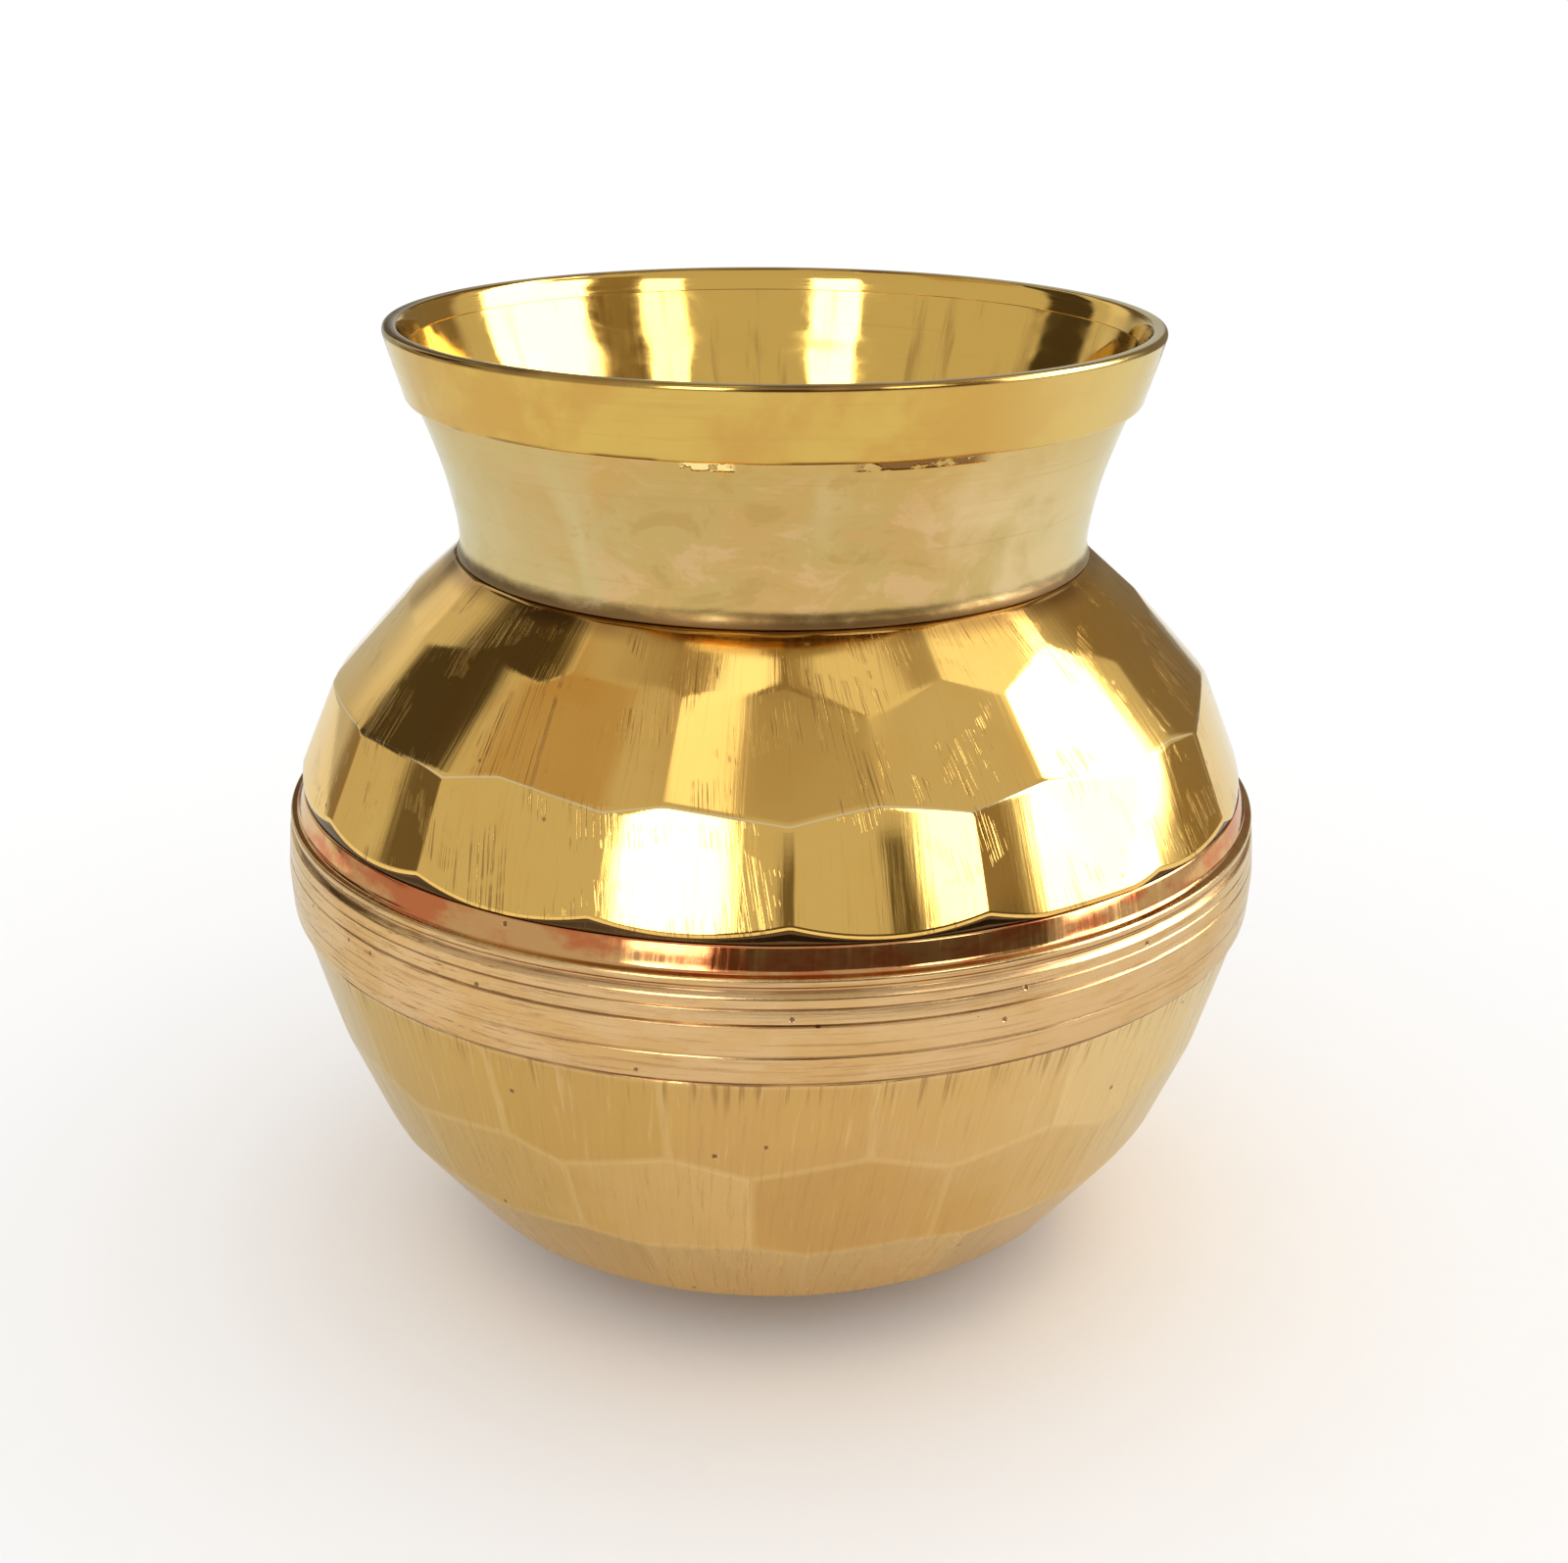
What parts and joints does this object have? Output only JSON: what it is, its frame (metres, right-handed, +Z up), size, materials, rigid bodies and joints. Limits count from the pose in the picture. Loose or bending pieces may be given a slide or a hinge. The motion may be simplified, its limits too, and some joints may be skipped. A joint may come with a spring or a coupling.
{
  "type": "brass kalash pot",
  "caption": "Round-bellied brass water pot with a flared neck, a turned belly band and rows of hand-ground flats above and below it.",
  "frame": {"origin": "centre of the flat base the pot stands on", "axes": "+Z up along the axis the pot was turned about; -Y is the side seen from the front"},
  "size_m": [0.104, 0.104, 0.1],
  "materials": {
    "bowl_brass": "turned and brushed brass with a pinkish copper tint, satin",
    "shell_brass": "ground and buffed golden brass, near mirror on the flats",
    "neck_brass": "turned satin brass, slightly pink",
    "rim_brass": "turned polished golden brass",
    "braze_alloy": "dull darkened brazing metal"
  },
  "bodies": {
    "root": {"lower_bowl": "bowl_brass", "shoulder_shell": "shell_brass", "neck_collar": "neck_brass", "rim_band": "rim_brass", "neck_braze": "braze_alloy", "belly_braze": "braze_alloy"}
  },
  "joints": []
}
